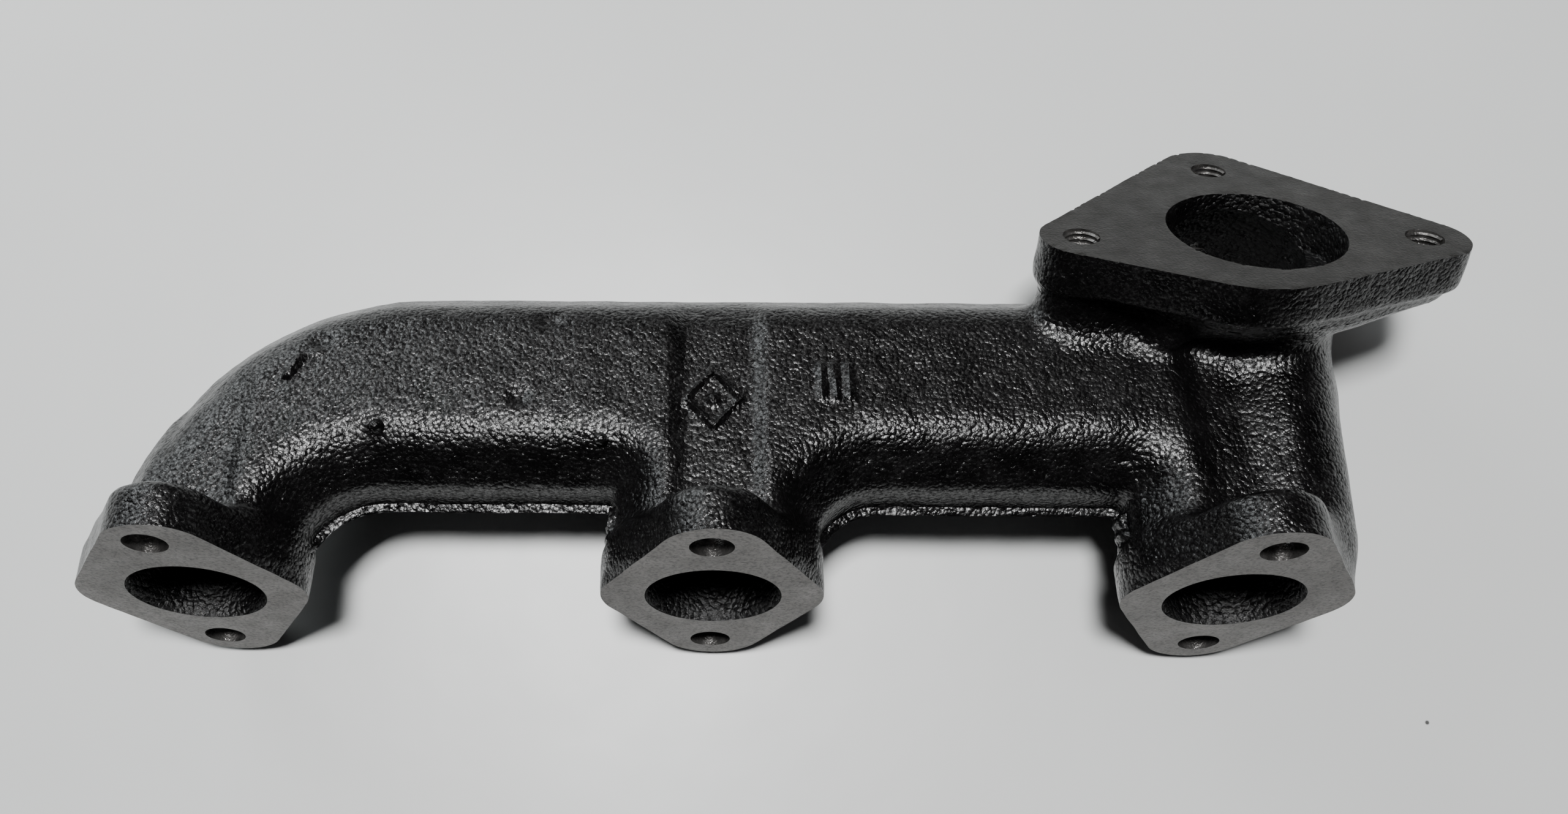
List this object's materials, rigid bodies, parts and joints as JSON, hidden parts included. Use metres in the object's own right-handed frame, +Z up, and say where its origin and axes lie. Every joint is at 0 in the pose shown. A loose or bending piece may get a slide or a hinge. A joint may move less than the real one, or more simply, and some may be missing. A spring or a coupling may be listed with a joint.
{
  "type": "exhaust manifold",
  "caption": "Cast-iron exhaust manifold: a row of short flanged runners sweeps into one log that ends in a tilted flanged outlet.",
  "frame": {"origin": "middle of the bounding box's underside; the part lies as it rests on a bench, on the lower edges of its port flanges and on the back of the log", "axes": "+X along the row of ports, towards the outlet end; +Y from the port faces back over the log; +Z up"},
  "size_m": [0.3474, 0.1412, 0.0817],
  "materials": {
    "cast_iron": "as-cast grain under a thin semi-gloss black coat, with the flange faces machined bare"
  },
  "bodies": {
    "root": {"port_flange_1": "cast_iron", "port_flange_2": "cast_iron", "port_flange_3": "cast_iron", "runner_1": "cast_iron", "runner_2": "cast_iron", "runner_3": "cast_iron", "log_elbow": "cast_iron", "log_left": "cast_iron", "log_middle": "cast_iron", "log_right": "cast_iron", "end_chamber": "cast_iron", "outlet_neck": "cast_iron", "outlet_flange": "cast_iron"}
  },
  "joints": []
}
